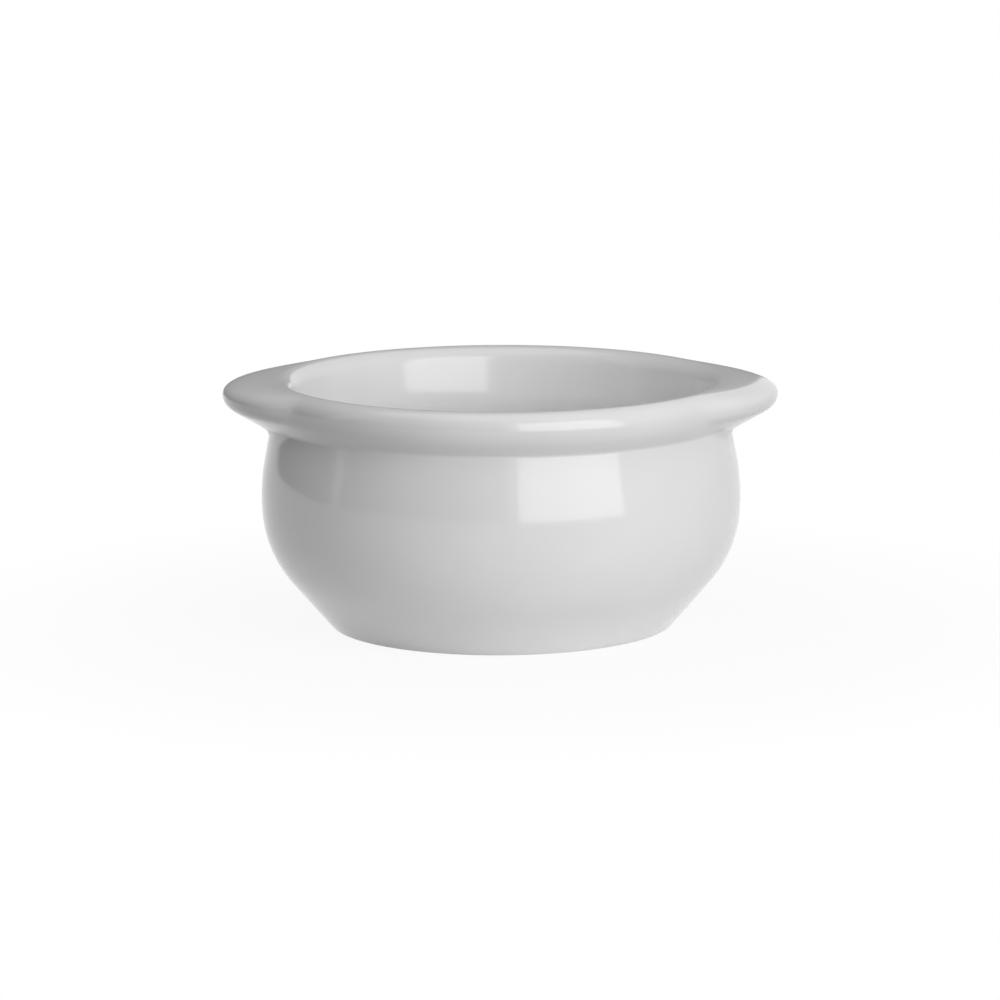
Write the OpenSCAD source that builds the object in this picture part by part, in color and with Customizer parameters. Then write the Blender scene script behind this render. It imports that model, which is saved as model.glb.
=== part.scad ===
// Soup crock for baked onion soup: a rolled rim that runs out into a lug at each side, over a
// drawn-in neck, a full belly and a narrow foot.
// One thick wall of fired clay under two coats of glaze, parted by the bare ring that it stands on.
// Sizes are those of the glazed crock, except on the foot ring, which is bare clay.

/* [Rim] */
// Width over the rim from front to back
rim_d = 112.5; // [106:0.5:118]
// Height to the top of the rim
crock_h = 58.2; // [56:0.2:62]
// Radius of the rim's rolled top
roll_rad = 4; // [3:0.1:4.8]
// Radius of the rim's swelling underside
under_rad = 7; // [4:0.5:8]
// Angle below level at which the roll runs over into the underside
under_turn = 2; // [0:0.5:12]

/* [Lugs] */
// Width over the two lugs
lug_span = 130; // [124:1:136]
// Radius of a lug's outline, seen from above
lug_rad = 35; // [30:0.5:40]
// Radius of a lug's edge
lug_edge_rad = 3.4; // [2.6:0.1:4.2]
// How far the top of a lug's edge lies below the top of the rim
lug_fall = 0.4; // [0.3:0.1:1.6]
// Radius of a lug's crowned top
crown_rad = 32; // [24:1:44]
// How far the crown lies below the top of the rim where it leaves the roll
crown_sink = 0.3; // [0.2:0.1:0.8]
// Slope of a lug's underside
lug_slope = 29; // [24:1:34]

/* [Neck and belly] */
// How far the rim reaches out past the narrowest of the neck
rim_reach = 2.5; // [2:0.05:3]
// How far the neck lies below the top
neck_drop = 10.2; // [9.4:0.1:11.4]
// Radius of the hollow of the neck
neck_rad = 1.2; // [0.8:0.1:1.6]
// How far the belly swells out past the neck
belly_swell = 2.5; // [2:0.05:3]
// Height of the widest of the belly
belly_h = 30.4; // [28:0.2:32]
// Radius of the belly's upper curve
belly_rad = 48; // [40:0.5:52]
// Radius of the belly's lower curve
low_rad = 26.9; // [20:0.1:30]
// Angle below level at which the belly's upper curve runs over into the lower one
low_turn = 5; // [3:0.5:10]

/* [Foot] */
// How far the edge of the flat face that the crock stands on lies inside the belly
foot_inset = 17.6; // [15:0.05:20]
// Width of the bare ring that the crock stands on
foot_ring_w = 3.8; // [2.6:0.1:6]
// Radius of the heel outside the ring
heel_rad = 2.8; // [1.8:0.1:3.6]
// Angle that the glaze runs round the heel before it stops
glaze_turn = 11.2; // [6:0.1:24]
// Height of the recess under the base
recess_h = 1.8; // [1.6:0.1:3]
// Radius of the ring's inner edge
ring_edge_rad = 0.5; // [0.3:0.1:0.8]
// Radius of the recess's corner
recess_rad = 1; // [0.6:0.1:1.4]
// How far the recess's wall leans out from the ring
recess_lean = 1.6; // [1.5:0.1:3]

/* [Inside] */
// How far the throat, the narrowest of the inside, lies inside the roll
throat_inset = 1.2; // [0.6:0.1:1.8]
// How far the throat lies below the top
throat_drop = 12.6; // [11.6:0.2:14]
// Radius of the swelling of the throat
throat_rad = 10; // [6:0.5:12]
// Share of the height from the floor to the throat over which the bowl's side curves up
bowl_share = 0.59; // [0.5:0.01:0.64]

/* [Wall and glaze] */
// Thickness of the wall at the belly
wall_t = 6; // [5.2:0.1:6.8]
// Thickness of the clay in the floor
floor_t = 6; // [4:0.1:8]
// Thickness of the glaze
glaze_t = 0.35; // [0.2:0.05:0.5]

/* [Hidden] */
$fn = 144;
// Furthest that a curve's short straight runs lie inside it
curve_tol = 0.02;
level = 0;
right_angle = 90;
half_turn = 180;
full_turn = 360;
// Slope at which a lug's crown rises under the roll
crown_lead = 8;
// Share of the largest radius that two rounds leave room for
room_share = 0.97;

clay_color = "#d6cfc2";
glaze_color = "#e3e3e1";

// Distances from the axis, each one tied to the next
rim_r = rim_d / 2;
roll_r = rim_r - roll_rad;
throat_r = roll_r - roll_rad - throat_inset;
neck_r = rim_r - rim_reach;
belly_r = neck_r + belly_swell;
foot_r = belly_r - foot_inset;

// A round is [distance from the axis, height, radius]. The radius of a hollow round has a minus sign.
// Headings are degrees in the half plane through the axis, with level outwards as zero, and the
// free side of the clay is on the left of an outline's way.
roll = [roll_r, crock_h - roll_rad, roll_rad];
neck = [neck_r + neck_rad, crock_h - neck_drop, -neck_rad];
heel = [foot_r, heel_rad - glaze_t, heel_rad];

// The outside: the rim's underside runs on from the roll, and the belly's lower curve from its upper one
under = round_at(side_of(roll, -under_turn), -under_turn, under_rad, neck);
belly = round_at([belly_r, belly_h], level, belly_rad, neck);
low = round_at(side_of(belly, -low_turn), -low_turn, low_rad, heel);

// The inside: one round from the flat floor to the bowl's widest, and the swelling of the throat
floor_top = recess_h + floor_t + glaze_t;
floor_mid = recess_h + floor_t / 2;
throat_h = crock_h - throat_drop;
bowl_rad = (throat_h - floor_top) * bowl_share;
bowl = [belly_r - wall_t - bowl_rad, floor_top + bowl_rad, -bowl_rad];
throat = round_at([throat_r, throat_h], half_turn, throat_rad, bowl);

// The lugs: each one is turned on an upright axis of its own, from which its rounds are measured
lug_axis = lug_span / 2 - lug_rad;
crown = [roll_r - lug_axis, crock_h - crown_sink - crown_rad, crown_rad];
lug_edge = [lug_rad - lug_edge_rad, crock_h - lug_fall - lug_edge_rad, lug_edge_rad];

// The underside: round the ring's inner edge, up the recess's wall and in along its ceiling
ring_edge = [foot_r - foot_ring_w, ring_edge_rad, ring_edge_rad];
recess_corner = round_at([ring_edge[0] - recess_lean, recess_h], -right_angle, -recess_rad, ring_edge);

function along(heading) = [cos(heading), sin(heading)];

// Point of a round on the side that a heading names
function side_of(bend, heading) = [bend[0], bend[1]] + bend[2] * along(heading);

// The round that faces a heading at a point, small enough to clear the round next to it
function round_at(point, heading, radius, neighbour) =
    let (
        gap = [neighbour[0], neighbour[1]] - point,
        room = gap * gap - neighbour[2] * neighbour[2],
        lean = -2 * sign(radius) * (gap * along(heading) + neighbour[2]),
        size = lean > 0 ? min(abs(radius), room / lean * room_share) : abs(radius),
        centre = point - sign(radius) * size * along(heading)
    )
    [centre[0], centre[1], sign(radius) * size];

// Heading of the straight run that touches two rounds in turn
function heading_between(a, b) =
    let (
        gap = [b[0] - a[0], b[1] - a[1]],
        share = (a[2] - b[2]) / norm(gap),
        heading = atan2(gap[1], gap[0]) - asin(max(-1, min(1, share)))
    )
    heading - full_turn * round(heading / full_turn);

// Point of a round where its outline has a heading, raised off its face by a lift
function point_on(bend, heading, lift) =
    [bend[0], bend[1]] + (bend[2] + lift) * along(heading + right_angle);

// Points of a round between two headings, raised off its face by a lift
function round_points(bend, start, end, lift) =
    let (
        facet_turn = 2 * acos(1 - curve_tol / abs(bend[2])),
        steps = max(1, ceil(abs(end - start) / facet_turn))
    )
    [
        for (k = [0 : steps])
            let (heading = start + (end - start) * k / steps)
            point_on(bend, heading, lift)
    ];

// Points of a row of rounds and the straight runs that join them
function outline(rounds, start, end, lift) =
    let (
        last = len(rounds) - 1,
        joins = [for (k = [1 : last]) heading_between(rounds[k - 1], rounds[k])],
        headings = concat([start], joins, [end])
    )
    [for (k = [0 : last]) each round_points(rounds[k], headings[k], headings[k + 1], lift)];

function reversed(points) = [for (k = [len(points) - 1 : -1 : 0]) points[k]];

crock_rounds = [bowl, throat, roll, under, neck, belly, low, heel];
glaze_end = heading_between(low, heel) - glaze_turn;
recess_rise = heading_between(ring_edge, recess_corner);

// Both lugs, left open where the bowl and its wall are
module lugs(lift) {
    slope_end = point_on(lug_edge, lug_slope - half_turn, lift);
    for (side = [0, half_turn])
        rotate([0, 0, side])
            difference() {
                translate([lug_axis, 0, 0])
                    rotate_extrude()
                        polygon(concat(
                            [[0, point_on(crown, crown_lead, lift)[1]]],
                            outline([crown, lug_edge], crown_lead, lug_slope - half_turn, lift),
                            [[0, slope_end[1] - slope_end[0] * tan(lug_slope)]]
                        ));
                cylinder(r = roll_r, h = crock_h);
            }
}

module clay_form() {
    rotate_extrude()
        polygon(concat(
            [[0, floor_top - glaze_t]],
            outline(crock_rounds, level, -half_turn, -glaze_t),
            outline([ring_edge, recess_corner], half_turn, half_turn, 0),
            [[0, recess_h]]
        ));
    lugs(-glaze_t);
}

// All that the glaze coat encloses, from the floor's face over the rim and down to its end on the heel
module glazed_form() {
    rotate_extrude()
        polygon(concat(
            [[0, floor_top]],
            outline(crock_rounds, level, glaze_end, 0),
            [point_on(heel, glaze_end, -2 * glaze_t), [foot_r, floor_mid], [0, floor_mid]]
        ));
    lugs(0);
}

module clay_body()
    color(clay_color)
        clay_form();

module glaze_coat()
    color(glaze_color)
        difference() {
            glazed_form();
            clay_form();
        }

// The ceiling and corner of the recess, inside the bare ring
module base_glaze()
    color(glaze_color)
        rotate_extrude()
            polygon(concat(
                round_points(recess_corner, recess_rise, half_turn, glaze_t),
                [[0, recess_h - glaze_t]],
                [[0, recess_h]],
                reversed(round_points(recess_corner, recess_rise, half_turn, 0))
            ));

clay_body();
glaze_coat();
base_glaze();
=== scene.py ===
import math

import bmesh
import bpy
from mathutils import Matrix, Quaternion, Vector, noise


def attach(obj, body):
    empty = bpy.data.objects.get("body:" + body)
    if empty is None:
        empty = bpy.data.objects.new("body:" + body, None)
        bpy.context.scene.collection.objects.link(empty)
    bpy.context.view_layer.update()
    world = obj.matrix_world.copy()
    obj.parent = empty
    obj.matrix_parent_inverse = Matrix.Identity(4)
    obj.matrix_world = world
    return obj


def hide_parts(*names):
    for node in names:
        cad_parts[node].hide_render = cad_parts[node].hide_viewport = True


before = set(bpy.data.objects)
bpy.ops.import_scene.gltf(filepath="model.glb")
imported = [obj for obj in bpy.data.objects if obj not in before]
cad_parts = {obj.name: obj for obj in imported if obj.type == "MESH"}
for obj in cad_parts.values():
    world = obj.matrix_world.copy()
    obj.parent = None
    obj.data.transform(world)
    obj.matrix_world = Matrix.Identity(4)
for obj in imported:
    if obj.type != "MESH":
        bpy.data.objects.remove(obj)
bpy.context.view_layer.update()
mm = 0.001  # everything in Blender is in metres
rightAngle = 90  # and headings are in degrees
halfTurn = 180
fullTurn = 360
plainWhite = (1.0, 1.0, 1.0, 1.0)


# Small helpers for nodes, colours and objects

def toLinear(hexColour):
    shares = [int(hexColour[k:k + 2], 16) / 255 for k in (1, 3, 5)]
    return tuple(s / 12.92 if s <= 0.04045 else ((s + 0.055) / 1.055) ** 2.4 for s in shares) + (1.0,)


def addNode(tree, kind, place, settings=None, inputs=None):
    node = tree.nodes.new(kind)
    node.location = place
    for name, value in (settings or {}).items():
        setattr(node, name, value)
    for name, value in (inputs or {}).items():
        if isinstance(value, bpy.types.NodeSocket):
            tree.links.new(value, node.inputs[name])
        else:
            node.inputs[name].default_value = value
    return node


def emptyTree(owner):
    owner.use_nodes = True
    owner.node_tree.nodes.clear()
    return owner.node_tree


def setRamp(node, stops):
    elements = node.color_ramp.elements
    for place, _ in stops[1:-1]:
        elements.new(place)
    for element, (place, colour) in zip(elements, stops):
        element.position = place
        element.color = colour


def smoothStep(value, low, high):
    share = min(1.0, max(0.0, (value - low) / (high - low)))
    return share * share * (3 - 2 * share)


def addObject(name, data):
    thing = bpy.data.objects.new(name, data)
    bpy.context.scene.collection.objects.link(thing)
    return thing


# The crock's outline: a belt of rounds joined by straight runs, in millimetres and degrees.
# A round is (distance from the axis, height, radius), and a hollow one has a minus radius.

crock = {
    "rimWidth": 112.5,  # from front to back
    "height": 58.2,
    "rollRadius": 4.0,  # the rim's rolled top
    "underRadius": 7.0,  # the rim's swelling underside
    "underTurn": 2.0,  # degrees below level at which the roll runs into it
    "rimReach": 2.5,  # the rim's reach past the neck
    "neckDrop": 10.2,
    "neckRadius": 1.2,
    "bellySwell": 2.5,
    "bellyHeight": 30.4,
    "bellyRadius": 48.0,
    "lowRadius": 26.9,  # the belly's lower curve
    "lowTurn": 5.0,  # degrees below level at which the upper curve runs into it
    "footInset": 17.6,
    "footRingWidth": 3.8,
    "heelRadius": 2.8,
    "glazeTurn": 11.2,  # degrees that the glaze runs round the heel before it stops
    "recessHeight": 1.8,
    "ringEdgeRadius": 0.5,
    "recessRadius": 1.0,
    "recessLean": 1.6,
    "throatInset": 1.2,  # of the narrowest inside, from the roll
    "throatDrop": 12.6,
    "throatRadius": 10.0,
    "bowlShare": 0.59,  # of the height from floor to throat over which the bowl's side curves up
    "wall": 6.0,
    "floor": 6.0,
    "glaze": 0.35,
}


def along(heading):
    return Vector((math.cos(math.radians(heading)), math.sin(math.radians(heading))))


def sideOf(bend, heading, lift=0.0):
    return Vector(bend[:2]) + (bend[2] + lift) * along(heading)


def roundAt(point, heading, radius):
    centre = Vector(point) - radius * along(heading)
    return (centre.x, centre.y, radius)


def headingBetween(first, second):
    gap = Vector(second[:2]) - Vector(first[:2])
    lean = max(-1.0, min(1.0, (first[2] - second[2]) / gap.length))
    heading = math.degrees(math.atan2(gap.y, gap.x) - math.asin(lean))
    return heading - fullTurn * round(heading / fullTurn)


def crockRounds(size):
    rimR = size["rimWidth"] / 2
    top = size["height"]
    roll = (rimR - size["rollRadius"], top - size["rollRadius"], size["rollRadius"])
    throatR = roll[0] - size["rollRadius"] - size["throatInset"]
    neckR = rimR - size["rimReach"]
    bellyR = neckR + size["bellySwell"]
    footR = bellyR - size["footInset"]
    floorTop = size["recessHeight"] + size["floor"] + size["glaze"]
    throatHeight = top - size["throatDrop"]
    bowlRadius = (throatHeight - floorTop) * size["bowlShare"]
    belly = roundAt((bellyR, size["bellyHeight"]), 0, size["bellyRadius"])
    ringEdge = (footR - size["footRingWidth"], size["ringEdgeRadius"], size["ringEdgeRadius"])
    return {
        "floorTop": floorTop,
        "bowl": (bellyR - size["wall"] - bowlRadius, floorTop + bowlRadius, -bowlRadius),
        "throat": roundAt((throatR, throatHeight), halfTurn, size["throatRadius"]),
        "roll": roll,
        "under": roundAt(sideOf(roll, -size["underTurn"]), -size["underTurn"], size["underRadius"]),
        "neck": (neckR + size["neckRadius"], top - size["neckDrop"], -size["neckRadius"]),
        "belly": belly,
        "low": roundAt(sideOf(belly, -size["lowTurn"]), -size["lowTurn"], size["lowRadius"]),
        "heel": (footR, size["heelRadius"] - size["glaze"], size["heelRadius"]),
        "ringEdge": ringEdge,
        "recessCorner": roundAt((ringEdge[0] - size["recessLean"], size["recessHeight"]), -rightAngle,
                                -size["recessRadius"]),
    }


rounds = crockRounds(crock)
wallOrder = ["bowl", "throat", "roll", "under", "neck", "belly", "low", "heel"]
wallRounds = [rounds[name] for name in wallOrder]
glazeEnd = headingBetween(rounds["low"], rounds["heel"]) - crock["glazeTurn"]

meshing = {
    "turnSteps": 240,  # round the axis
    "arcStep": 6.0,  # most degrees in one step of a round
    "runStep": 1.3,  # most millimetres in one step along the outline
    "mergeDistance": 0.002,
}


# Drawing an outline with bmesh: a vertex is pulled along each straight run and spun round each round

def pointOn(bend, heading, lift):
    flat = sideOf(bend, heading + rightAngle, lift)
    return Vector((flat.x, 0, flat.y))


def pullTo(bm, vert, target):
    run = target - vert.co
    if run.length < meshing["mergeDistance"]:
        return vert
    steps = math.ceil(run.length / meshing["runStep"])
    for _ in range(steps):
        vert = bmesh.ops.extrude_vert_indiv(bm, verts=[vert])["verts"][0]
        bmesh.ops.translate(bm, verts=[vert], vec=run / steps)
    return vert


def drawOutline(bm, vert, bends, start, end, lift):
    vert[bm.verts.layers.float["lift"]] = lift  # and that of each vertex drawn on from this one
    joins = [headingBetween(a, b) for a, b in zip(bends, bends[1:])]
    headings = [start] + joins + [end]
    for k, bend in enumerate(bends):
        vert = pullTo(bm, vert, pointOn(bend, headings[k], lift))
        turn = headings[k] - headings[k + 1]
        reach = abs(math.radians(turn) * (bend[2] + lift))
        steps = math.ceil(max(abs(turn) / meshing["arcStep"], reach / meshing["runStep"]))
        if steps > 0:
            spun = bmesh.ops.spin(bm, geom=[vert], cent=(bend[0], 0, bend[1]), axis=(0, 1, 0),
                                  angle=math.radians(turn), steps=steps, use_duplicate=False)
            vert = [g for g in spun["geom_last"] if isinstance(g, bmesh.types.BMVert)][0]
    return vert


def newPiece():
    bm = bmesh.new()
    bm.verts.layers.float.new("lift")
    return bm


def startAt(bm, distance, height):
    return bmesh.ops.create_vert(bm, co=(distance, 0, height))["vert"][0]


def turnOnAxis(bm):
    bmesh.ops.spin(bm, geom=bm.verts[:] + bm.edges[:], cent=(0, 0, 0), axis=(0, 0, 1),
                   angle=math.tau, steps=meshing["turnSteps"], use_merge=True, use_duplicate=False)
    bmesh.ops.remove_doubles(bm, verts=bm.verts[:], dist=meshing["mergeDistance"])
    bmesh.ops.recalc_face_normals(bm, faces=bm.faces[:])


# The lugs: each one is a disc about an upright axis of its own, with a round edge and a sloping
# underside. What lies outside the roll's crest is pulled out to it, and a small fillet is left at
# its root.

lugs = {
    "span": 130.0,
    "outlineRadius": 35.0,  # of a lug, seen from above
    "blend": 0.53,  # width over which a lug's outline runs into the rim's
    "rise": 0.054,  # of a lug's edge, per reach past the rim
    "easeShare": 0.49,  # how round the edge is above: 0 is a plain stretch
    "edgeRadius": 3.4,  # of the edge's lower half
    "slope": 28.8,  # of the underside
}


def lugRadius(depth, lift):
    edge = lugs["edgeRadius"] + lift
    slope = math.radians(lugs["slope"])
    turned = lugs["outlineRadius"] - lugs["edgeRadius"]
    roundDepth = edge * math.cos(slope)
    if depth < roundDepth:
        return turned + math.sqrt(edge ** 2 - max(0.0, depth) ** 2)
    return max(0.0, turned + edge * math.sin(slope) - (depth - roundDepth) / math.tan(slope))


def lugReach(away, radius, reach):
    axis = lugs["span"] / 2 - lugs["outlineRadius"]
    circle = axis * away + math.sqrt(max(0.0, radius ** 2 - axis ** 2 * (1 - away ** 2)))
    return lugs["blend"] * math.log(1 + math.exp((circle - reach) / lugs["blend"]))


def pullLugs(bm):
    roll = rounds["roll"]
    ease = lugs["easeShare"]
    lift = bm.verts.layers.float["lift"]
    for vert in bm.verts:
        x, y, z = vert.co
        reach = math.hypot(x, y)
        if reach < roll[0]:
            continue
        crest = roll[2] + vert[lift]
        pull = lugReach(abs(x) / reach, lugRadius(roll[1] - z, vert[lift]),
                        roll[0] + crest if z >= roll[1] else reach)
        if z >= roll[1]:
            share = min(1.0, (reach - roll[0]) / crest)
            pull *= (1 - ease) * share + ease * smoothStep(share, 0, 1)
        vert.co.x += pull * x / reach
        vert.co.y += pull * y / reach
        vert.co.z += pull * lugs["rise"]


# What firing does to a thrown shape: it leans, its rim settles, it goes a little out of round,
# and its face waves slightly. The foot stays flat on the shelf of the kiln.

firing = {
    "lean": -0.002,  # sideways, per height
    "rimTilt": -0.004,  # downwards, per distance to the right
    "tiltFrom": 44.0,  # heights between which the tilt sets in
    "tiltTo": 50.0,
    "outOfRound": 0.0008,
    "waveLength": 24.0,
    "waveHeight": 0.02,
    "flatBelow": 0.6,  # heights between which the waves set in
    "looseAbove": 5.0,
    "stillWithin": 1.0,  # distance from the axis at which nothing is pushed sideways
}


def fire(bm):
    for vert in bm.verts:
        x, y, z = vert.co
        away = Vector((x, y, 0))
        away = away.normalized() if away.length > firing["stillWithin"] else Vector((0, 0, 0))
        loose = smoothStep(z, firing["flatBelow"], firing["looseAbove"])
        wave = noise.noise(vert.co / firing["waveLength"]) * firing["waveHeight"] * loose
        settle = firing["rimTilt"] * x * smoothStep(z, firing["tiltFrom"], firing["tiltTo"])
        vert.co = Vector((
            x * (1 + firing["outOfRound"]) + firing["lean"] * z,
            y * (1 - firing["outOfRound"]),
            z + settle,
        )) + wave * away


# A piece's shades are kept as attributes. Each one is a list of (spot on the outline, how far it
# reaches in millimetres, how strong it is).

def finishPiece(bm, name, shades):
    for layerName, places in shades.items():
        layer = bm.verts.layers.float.new(layerName)
        for vert in bm.verts:
            here = Vector((math.hypot(vert.co.x, vert.co.y), vert.co.z))
            vert[layer] = sum(amount * math.exp(-((here - Vector(spot)).length / reach) ** 2)
                              for spot, reach, amount in places)
    pullLugs(bm)
    fire(bm)
    bmesh.ops.scale(bm, verts=bm.verts[:], vec=(mm, mm, mm))
    for face in bm.faces:
        face.smooth = True
    mesh = bpy.data.meshes.new(name)
    bm.to_mesh(mesh)
    bm.free()
    piece = addObject(name, mesh)
    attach(piece, "root")
    print(name, "has", sum(len(p.vertices) - 2 for p in mesh.polygons), "triangles")
    return piece


def outlinePoint(name, heading, lift=0.0):
    return sideOf(rounds[name], heading + rightAngle, lift)


# The clay body: floor, wall, rim, lugs and the ring that stays bare

glazeLine = outlinePoint("heel", glazeEnd, -crock["glaze"])
recessRise = headingBetween(rounds["ringEdge"], rounds["recessCorner"])
recessLine = outlinePoint("recessCorner", recessRise)

clayShades = {
    "flashing": [(glazeLine, 0.9, 1.0), (recessLine, 0.8, 0.8)],
    "contact": [((rounds["heel"][0], 0), 0.9, 1.0), ((rounds["ringEdge"][0], 0), 0.7, 1.0)],
}

clayMesh = newPiece()
tip = startAt(clayMesh, 0, rounds["floorTop"] - crock["glaze"])
tip = drawOutline(clayMesh, tip, wallRounds, 0, -halfTurn, -crock["glaze"])
tip = drawOutline(clayMesh, tip, [rounds["ringEdge"], rounds["recessCorner"]], halfTurn, halfTurn, 0)
pullTo(clayMesh, tip, Vector((0, 0, crock["recessHeight"])))
turnOnAxis(clayMesh)
clayBody = finishPiece(clayMesh, "firedClayBody", clayShades)


# The glaze coat: a closed skin from the middle of the floor, over the rim and lugs and down to a
# rolled edge on the heel

glazeEdge = {
    "beadRadius": 0.27,
    "beadHeight": 0.10,  # of the bead's centre above the clay
}

beadDip = math.degrees(math.asin(glazeEdge["beadHeight"] / glazeEdge["beadRadius"]))
beadTurn = math.degrees(glazeEdge["beadRadius"] / crock["heelRadius"])
beadCentre = outlinePoint("heel", glazeEnd, glazeEdge["beadHeight"] - crock["glaze"])
bead = (beadCentre.x, beadCentre.y, glazeEdge["beadRadius"])

# Pooled glaze is drawn greyer: partly real pooling, partly painted shade in the neck crease and
# hollows.
coatShades = {
    "poolingAndShade": [
        (outlinePoint("neck", -90), 3.0, 1.0),
        (glazeLine, 1.1, 1.0),
        (outlinePoint("bowl", 40), 12.0, 0.35),
        ((crock["rimWidth"] / 2, rounds["roll"][1]), 3.0, -0.5),
        ((rounds["roll"][0], crock["height"]), 2.4, -0.35),
    ],
}

coatMesh = newPiece()
outerStart = startAt(coatMesh, 0, rounds["floorTop"])
outerEnd = drawOutline(coatMesh, outerStart, wallRounds + [bead], 0, glazeEnd - rightAngle - beadDip, 0)
innerStart = startAt(coatMesh, 0, rounds["floorTop"] - crock["glaze"])
innerEnd = drawOutline(coatMesh, innerStart, wallRounds, 0, glazeEnd - beadTurn, -crock["glaze"])
bmesh.ops.contextual_create(coatMesh, geom=[outerEnd, innerEnd])
turnOnAxis(coatMesh)
glazeCoat = finishPiece(coatMesh, "whiteGlazeCoat", coatShades)


# The glaze under the base, inside the bare ring

# The pooled tone darkens the recess corner: partly glaze pooling, partly painted shade.
baseShades = {"poolingAndShade": [(outlinePoint("recessCorner", 110), 1.2, 1.0), (recessLine, 0.6, 0.4)]}

baseMesh = newPiece()
baseRounds = [rounds["recessCorner"]]
faceStart = startAt(baseMesh, *outlinePoint("recessCorner", recessRise, crock["glaze"]))
backStart = pullTo(baseMesh, faceStart, pointOn(rounds["recessCorner"], recessRise, 0))
faceEnd = drawOutline(baseMesh, faceStart, baseRounds, recessRise, halfTurn, crock["glaze"])
pullTo(baseMesh, faceEnd, Vector((0, 0, crock["recessHeight"] - crock["glaze"])))
backEnd = drawOutline(baseMesh, backStart, baseRounds, recessRise, halfTurn, 0)
pullTo(baseMesh, backEnd, Vector((0, 0, crock["recessHeight"])))
turnOnAxis(baseMesh)
baseGlaze = finishPiece(baseMesh, "baseGlaze", baseShades)

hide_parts("clay_body")
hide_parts("glaze_coat")
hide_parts("base_glaze")
print("crock modelled")


# Opaque white glaze, dipped and fired: a smooth glassy face over a soft white, with a faint
# orange peel and a few pinholes, and a shade greyer where it pools; that greyer tone is also
# painted shade in the neck crease and the hollows. Lengths are in millimetres.

whiteGlaze = {
    "white": "#EDEDED",
    # pooled glaze, which is also painted shade in creases and hollows
    "pooledAndShaded": "#E8E8E8",
    "thin": "#ECECEB",
    "roughness": 0.11,
    "roughnessSpread": 0.015,
    "ior": 1.5,
    "peelLength": 1.8,  # from hill to hill
    "peelHeight": 0.0016,
    "swellLength": 9.0,
    "swellHeight": 0.006,
    "clouding": 0.012,
    "cloudLength": 14.0,
    "pinholeSpacing": 9.0,
    "pinholeWidth": 0.22,
    "pinholeDepth": 0.04,
    "pinholeTone": "#C4C0BC",
}

noiseReach = {"From Min": 0.3, "From Max": 0.7}  # between which nearly all of a noise lies


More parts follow.
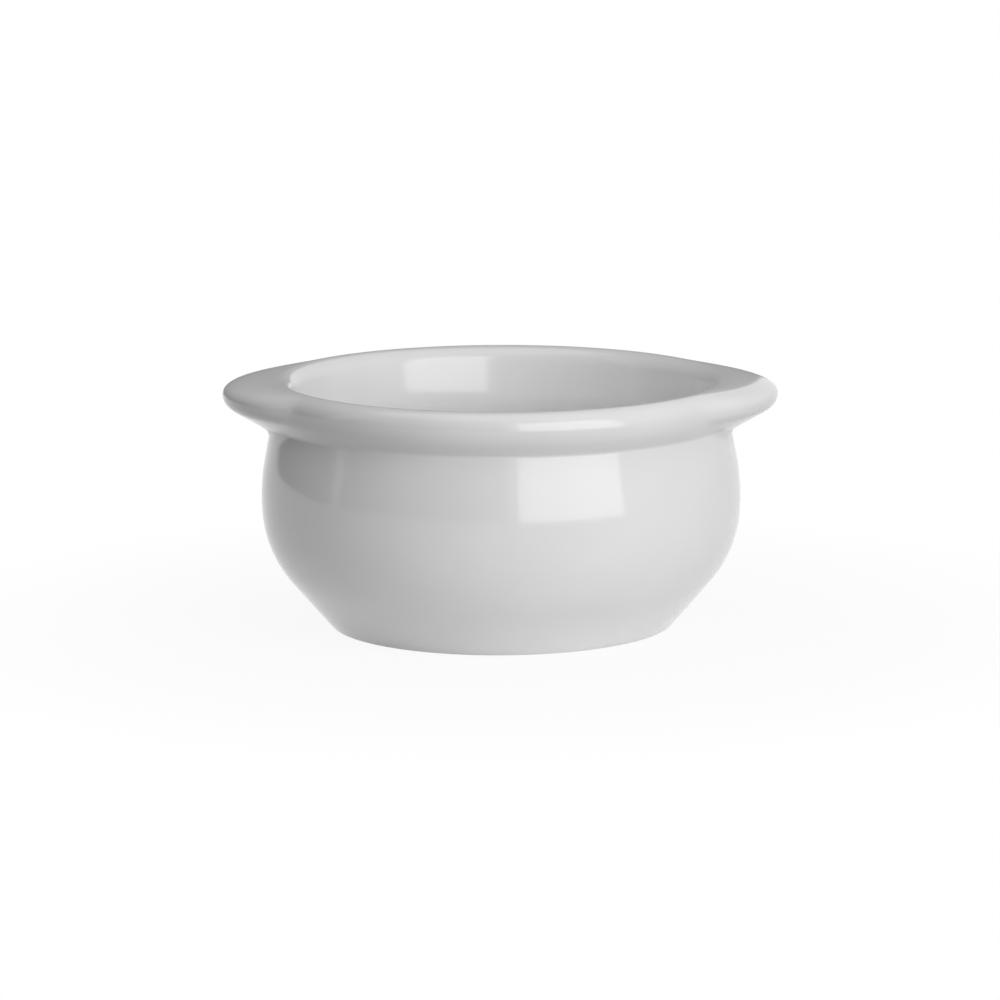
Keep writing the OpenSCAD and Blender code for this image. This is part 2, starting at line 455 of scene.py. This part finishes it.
def glazeMaterial(look):
    material = bpy.data.materials.new("white_ceramic_glaze")
    tree = emptyTree(material)
    place = addNode(tree, "ShaderNodeTexCoord", (-1500, 0)).outputs["Object"]
    peel = addNode(tree, "ShaderNodeTexNoise", (-1100, -300), None, {
        "Vector": place, "Scale": 1 / (look["peelLength"] * mm), "Detail": 1.0, "Roughness": 0.4})
    swell = addNode(tree, "ShaderNodeTexNoise", (-1100, -550), None, {
        "Vector": place, "Scale": 1 / (look["swellLength"] * mm), "Detail": 0.0})
    clouds = addNode(tree, "ShaderNodeTexNoise", (-1100, 350), None, {
        "Vector": place, "Scale": 1 / (look["cloudLength"] * mm), "Detail": 3.0, "Roughness": 0.55})
    pins = addNode(tree, "ShaderNodeTexVoronoi", (-1100, -800), {"feature": "F1"}, {
        "Vector": place, "Scale": 1 / (look["pinholeSpacing"] * mm), "Randomness": 1.0})
    pinShare = look["pinholeWidth"] / look["pinholeSpacing"] / 2
    pinMask = addNode(tree, "ShaderNodeMapRange", (-900, -800), {"interpolation_type": "SMOOTHSTEP"}, {
        "Value": pins.outputs["Distance"], "From Min": pinShare / 2, "From Max": pinShare,
        "To Min": 1.0, "To Max": 0.0})
    # Greyer where glaze pools: partly pooling, partly painted shade in creases and hollows.
    poolingAndShade = addNode(tree, "ShaderNodeAttribute", (-1100, 100), {"attribute_name": "poolingAndShade"})
    poolAndShadeShare = addNode(tree, "ShaderNodeMapRange", (-900, 100), None, {
        "Value": poolingAndShade.outputs["Fac"], "From Min": -1.0, "From Max": 1.0})
    toned = addNode(tree, "ShaderNodeValToRGB", (-650, 100), None, {"Fac": poolAndShadeShare.outputs["Result"]})
    tones = [toLinear(look[name]) for name in ("thin", "white", "pooledAndShaded")]
    setRamp(toned, list(zip((0.0, 0.5, 1.0), tones)))
    cloudLevel = addNode(tree, "ShaderNodeMapRange", (-900, 350), None, {
        **noiseReach, "Value": clouds.outputs["Fac"],
        "To Min": 1 - look["clouding"], "To Max": 1 + look["clouding"]})
    clouded = addNode(tree, "ShaderNodeVectorMath", (-350, 200), {"operation": "SCALE"}, {
        "Vector": toned.outputs["Color"], "Scale": cloudLevel.outputs["Result"]})
    pinned = addNode(tree, "ShaderNodeMixRGB", (-150, 200), {"blend_type": "MULTIPLY"}, {
        "Fac": pinMask.outputs["Result"], "Color1": clouded.outputs["Vector"],
        "Color2": toLinear(look["pinholeTone"])})
    swellBump = addNode(tree, "ShaderNodeBump", (-650, -500), None, {
        "Height": swell.outputs["Fac"], "Distance": look["swellHeight"] * mm, "Strength": 1.0})
    peelBump = addNode(tree, "ShaderNodeBump", (-400, -400), None, {
        "Height": peel.outputs["Fac"], "Distance": look["peelHeight"] * mm, "Strength": 1.0,
        "Normal": swellBump.outputs["Normal"]})
    pinBump = addNode(tree, "ShaderNodeBump", (-150, -400), {"invert": True}, {
        "Height": pinMask.outputs["Result"], "Distance": look["pinholeDepth"] * mm, "Strength": 1.0,
        "Normal": peelBump.outputs["Normal"]})
    shine = addNode(tree, "ShaderNodeMapRange", (-350, -100), None, {
        **noiseReach, "Value": clouds.outputs["Fac"],
        "To Min": look["roughness"] - look["roughnessSpread"],
        "To Max": look["roughness"] + look["roughnessSpread"]})
    skin = addNode(tree, "ShaderNodeBsdfPrincipled", (150, 100), None, {
        "Base Color": pinned.outputs["Color"], "Roughness": shine.outputs["Result"],
        "IOR": look["ior"], "Normal": pinBump.outputs["Normal"]})
    addNode(tree, "ShaderNodeOutputMaterial", (450, 100), None, {"Surface": skin.outputs["BSDF"]})
    return material


# Bare fired stoneware on the foot ring: matt, gritty and warmer than the glaze, with a toasted
# line beside the glaze, fine iron specks and a face rubbed paler where it touches the table.
# Lengths are in millimetres.

bareClay = {
    "clay": "#D9D0C2",
    "toasted": "#BFA88B",
    "rubbed": "#E1DAD0",
    "speck": "#6E5845",
    "roughness": 0.85,
    "gritLength": 0.35,  # from grain to grain
    "gritHeight": 0.03,
    "gritTones": (0.92, 1.05),
    "speckSpacing": 1.6,
    "speckWidth": 0.2,
    "speckCoreShare": 0.4,  # of a speck's width, before it fades
    "speckStrength": 0.8,
}


def clayMaterial(look):
    material = bpy.data.materials.new("bare_fired_stoneware")
    tree = emptyTree(material)
    place = addNode(tree, "ShaderNodeTexCoord", (-1500, 0)).outputs["Object"]
    grit = addNode(tree, "ShaderNodeTexNoise", (-1100, -300), None, {
        "Vector": place, "Scale": 1 / (look["gritLength"] * mm), "Detail": 3.0, "Roughness": 0.6})
    specks = addNode(tree, "ShaderNodeTexVoronoi", (-1100, -550), {"feature": "F1"}, {
        "Vector": place, "Scale": 1 / (look["speckSpacing"] * mm), "Randomness": 1.0})
    speckShare = look["speckWidth"] / look["speckSpacing"]
    speckMask = addNode(tree, "ShaderNodeMapRange", (-900, -550), None, {
        "Value": specks.outputs["Distance"], "From Min": speckShare * look["speckCoreShare"],
        "From Max": speckShare, "To Min": look["speckStrength"], "To Max": 0.0})
    flashing = addNode(tree, "ShaderNodeAttribute", (-1100, 300), {"attribute_name": "flashing"})
    contact = addNode(tree, "ShaderNodeAttribute", (-1100, 100), {"attribute_name": "contact"})
    toasted = addNode(tree, "ShaderNodeMixRGB", (-650, 300), None, {
        "Fac": flashing.outputs["Fac"], "Color1": toLinear(look["clay"]),
        "Color2": toLinear(look["toasted"])})
    rubbed = addNode(tree, "ShaderNodeMixRGB", (-450, 300), None, {
        "Fac": contact.outputs["Fac"], "Color1": toasted.outputs["Color"],
        "Color2": toLinear(look["rubbed"])})
    gritTone = addNode(tree, "ShaderNodeMapRange", (-650, 0), None, {
        **noiseReach, "Value": grit.outputs["Fac"],
        "To Min": look["gritTones"][0], "To Max": look["gritTones"][1]})
    gritty = addNode(tree, "ShaderNodeVectorMath", (-250, 200), {"operation": "SCALE"}, {
        "Vector": rubbed.outputs["Color"], "Scale": gritTone.outputs["Result"]})
    specked = addNode(tree, "ShaderNodeMixRGB", (-50, 200), None, {
        "Fac": speckMask.outputs["Result"], "Color1": gritty.outputs["Vector"],
        "Color2": toLinear(look["speck"])})
    bump = addNode(tree, "ShaderNodeBump", (-150, -300), None, {
        "Height": grit.outputs["Fac"], "Distance": look["gritHeight"] * mm, "Strength": 1.0})
    body = addNode(tree, "ShaderNodeBsdfPrincipled", (200, 100), None, {
        "Base Color": specked.outputs["Color"], "Roughness": look["roughness"],
        "Normal": bump.outputs["Normal"]})
    addNode(tree, "ShaderNodeOutputMaterial", (500, 100), None, {"Surface": body.outputs["BSDF"]})
    return material


glazeFinish = glazeMaterial(whiteGlaze)
clayFinish = clayMaterial(bareClay)
glazeCoat.data.materials.append(glazeFinish)
baseGlaze.data.materials.append(glazeFinish)
clayBody.data.materials.append(clayFinish)
print("finishes made")


# The studio, in metres: a pale floor, one tall softbox to the camera's right, soft light from above
# and from behind on the left, and grey cards round the left that only the gloss sees. Azimuth 0 is
# towards the camera, 90 to its right.

studio = {
    "floorWidth": 6.0,
    "floorGap": 0.03 * mm,  # under the foot ring, so that the two faces don't fight
    "floorColour": "#E8E8E8",
    "floorShadow": 0.08,  # share of the lit floor in what the camera sees of it
    "shadowReach": (0.04, 0.16),  # distances from the axis between which that share fades
    "farColour": "#3C3C3C",  # of the studio's dark floor past the paper
    "paperReach": (0.06, 0.18),
    "whiteLevel": 1.0,  # of the floor and the room as the camera and the gloss see them
    "roomLevel": 0.29,  # of the room's light on the crock, from all round
    "cardLevel": 0.25,
    "cardDistance": 0.95,
    "cardTall": 1.6,
    "cardStep": 4,  # degrees
    "cards": [(-80, 2), (-190, -86)],  # azimuths of a card's two ends
}


def direction(azimuth, elevation=0.0):
    a, e = math.radians(azimuth), math.radians(elevation)
    return Vector((math.sin(a) * math.cos(e), -math.cos(a) * math.cos(e), math.sin(e)))


def stageObject(bm, name, material):
    mesh = bpy.data.meshes.new(name)
    bm.to_mesh(mesh)
    bm.free()
    mesh.materials.append(material)
    thing = addObject(name, mesh)
    return thing


def directlySeen(tree, x, y):  # 1 for the camera, and in gloss and glass, and 0 for scattered light
    rays = addNode(tree, "ShaderNodeLightPath", (x, y)).outputs
    seen = addNode(tree, "ShaderNodeMath", (x + 200, y), {"operation": "MAXIMUM"}, {
        0: rays["Is Camera Ray"], 1: rays["Is Glossy Ray"]})
    seenThrough = addNode(tree, "ShaderNodeMath", (x + 400, y), {"operation": "MAXIMUM"}, {
        0: seen.outputs["Value"], 1: rays["Is Transmission Ray"]})
    return seenThrough.outputs["Value"]


def floorMaterial():
    material = bpy.data.materials.new("pale_paper_floor")
    tree = emptyTree(material)
    place = addNode(tree, "ShaderNodeTexCoord", (-900, 0)).outputs["Object"]
    away = addNode(tree, "ShaderNodeVectorMath", (-700, 0), {"operation": "LENGTH"}, {"Vector": place})
    keep = addNode(tree, "ShaderNodeMapRange", (-500, 0), {"interpolation_type": "SMOOTHSTEP"}, {
        "Value": away.outputs["Value"],
        "From Min": studio["shadowReach"][0], "From Max": studio["shadowReach"][1],
        "To Min": studio["floorShadow"], "To Max": 0.0})
    beyond = addNode(tree, "ShaderNodeMapRange", (-700, -300), {"interpolation_type": "SMOOTHSTEP"}, {
        "Value": away.outputs["Value"],
        "From Min": studio["paperReach"][0], "From Max": studio["paperReach"][1]})
    lit = addNode(tree, "ShaderNodeMixRGB", (-500, -200), None, {
        "Fac": beyond.outputs["Result"], "Color1": toLinear(studio["floorColour"]),
        "Color2": toLinear(studio["farColour"])})
    paper = addNode(tree, "ShaderNodeBsdfDiffuse", (-300, -200), None, {"Color": lit.outputs["Color"]})
    bright = addNode(tree, "ShaderNodeEmission", (-300, 200), None, {
        "Color": plainWhite, "Strength": studio["whiteLevel"]})
    shown = addNode(tree, "ShaderNodeMixShader", (-50, 100), None, {
        "Fac": keep.outputs["Result"], 1: bright.outputs["Emission"], 2: paper.outputs["BSDF"]})
    both = addNode(tree, "ShaderNodeMixShader", (250, 100), None, {
        "Fac": directlySeen(tree, -300, 500), 1: paper.outputs["BSDF"], 2: shown.outputs["Shader"]})
    addNode(tree, "ShaderNodeOutputMaterial", (450, 100), None, {"Surface": both.outputs["Shader"]})
    return material


def makeWorld():
    world = bpy.data.worlds.new("studioRoom")
    bpy.context.scene.world = world
    tree = emptyTree(world)
    room = addNode(tree, "ShaderNodeBackground", (0, -100), None, {
        "Color": plainWhite, "Strength": studio["roomLevel"]})
    bright = addNode(tree, "ShaderNodeBackground", (0, 100), None, {
        "Color": plainWhite, "Strength": studio["whiteLevel"]})
    both = addNode(tree, "ShaderNodeMixShader", (250, 0), None, {
        "Fac": directlySeen(tree, -400, 400), 1: room.outputs["Background"],
        2: bright.outputs["Background"]})
    addNode(tree, "ShaderNodeOutputWorld", (450, 0), None, {"Surface": both.outputs["Shader"]})


def greyCard(level):
    material = bpy.data.materials.new("grey_card")
    tree = emptyTree(material)
    glow = addNode(tree, "ShaderNodeEmission", (0, 0), None, {"Color": plainWhite, "Strength": level})
    addNode(tree, "ShaderNodeOutputMaterial", (200, 0), None, {"Surface": glow.outputs["Emission"]})
    return material


def hangCard(name, start, end, material):
    bm = bmesh.new()
    low = bmesh.ops.create_vert(bm, co=direction(start) * studio["cardDistance"])["vert"][0]
    high = bmesh.ops.extrude_vert_indiv(bm, verts=[low])["verts"]
    bmesh.ops.translate(bm, verts=high, vec=(0, 0, studio["cardTall"]))
    bmesh.ops.spin(bm, geom=bm.verts[:] + bm.edges[:], cent=(0, 0, 0), axis=(0, 0, 1),
                   angle=math.radians(end - start), steps=math.ceil((end - start) / studio["cardStep"]),
                   use_duplicate=False)
    card = stageObject(bm, name, material)
    card.visible_camera = False
    card.visible_diffuse = False
    card.visible_shadow = False
    card.visible_transmission = False


floorMesh = bmesh.new()
bmesh.ops.create_grid(floorMesh, x_segments=1, y_segments=1, size=studio["floorWidth"] / 2)
bmesh.ops.translate(floorMesh, verts=floorMesh.verts[:], vec=(0, 0, -studio["floorGap"]))
stageObject(floorMesh, "floor", floorMaterial())

cardFinish = greyCard(studio["cardLevel"])
for number, (cardStart, cardEnd) in enumerate(studio["cards"], 1):
    hangCard("greyCard%d" % number, cardStart, cardEnd, cardFinish)

makeWorld()

lamps = {
    "softbox": {"azimuth": 33.0, "distance": 0.75, "height": 0.41, "width": 0.70, "tall": 0.90,
                "radiance": 2.18, "inGloss": True},
    "overhead": {"azimuth": 0.0, "distance": 0.0, "height": 1.1, "width": 0.9, "tall": 0.9,
                 "radiance": 0.28, "inGloss": True},
    "backFill": {"azimuth": -130.0, "distance": 0.9, "height": 0.45, "width": 0.9, "tall": 0.8,
                 "radiance": 0.45, "inGloss": False},
}
wattsPerRadiance = 4  # and square metre of an area lamp

for lampName, lamp in lamps.items():
    light = bpy.data.lights.new(lampName, "AREA")
    light.shape = "RECTANGLE"
    light.size = lamp["width"]
    light.size_y = lamp["tall"]
    light.energy = wattsPerRadiance * lamp["width"] * lamp["tall"] * lamp["radiance"]
    holder = addObject(lampName, light)
    stand = direction(lamp["azimuth"]) * lamp["distance"]
    holder.location = (stand.x, stand.y, lamp["height"])
    facing = -stand if lamp["distance"] else Vector((0, 0, -1))
    holder.rotation_euler = facing.to_track_quat("-Z", "Y").to_euler()
    holder.visible_camera = False
    holder.visible_glossy = lamp["inGloss"]

cameraSettings = {
    "elevation": 10.14,
    "distance": 1.0678,  # metres from the pivot
    "clipStart": 0.01,
    "pivotHeight": 29.46,  # mm
    "target": (-0.327, 0.0, 28.91),  # mm
    "lens": 163.31,
    "sensor": 36.0,
    "roll": -0.367,
}

camera = addObject("camera", bpy.data.cameras.new("camera"))
camera.data.lens = cameraSettings["lens"]
camera.data.sensor_width = cameraSettings["sensor"]
camera.data.clip_start = cameraSettings["clipStart"]
pivot = Vector((0, 0, cameraSettings["pivotHeight"] * mm))
camera.location = pivot + direction(0, cameraSettings["elevation"]) * cameraSettings["distance"]
looking = Vector(cameraSettings["target"]) * mm - camera.location
turned = looking.to_track_quat("-Z", "Y") @ Quaternion((0, 0, 1), math.radians(cameraSettings["roll"]))
camera.rotation_euler = turned.to_euler()
bpy.context.scene.camera = camera
bpy.context.scene.view_settings.view_transform = "Standard"
print("studio set up")
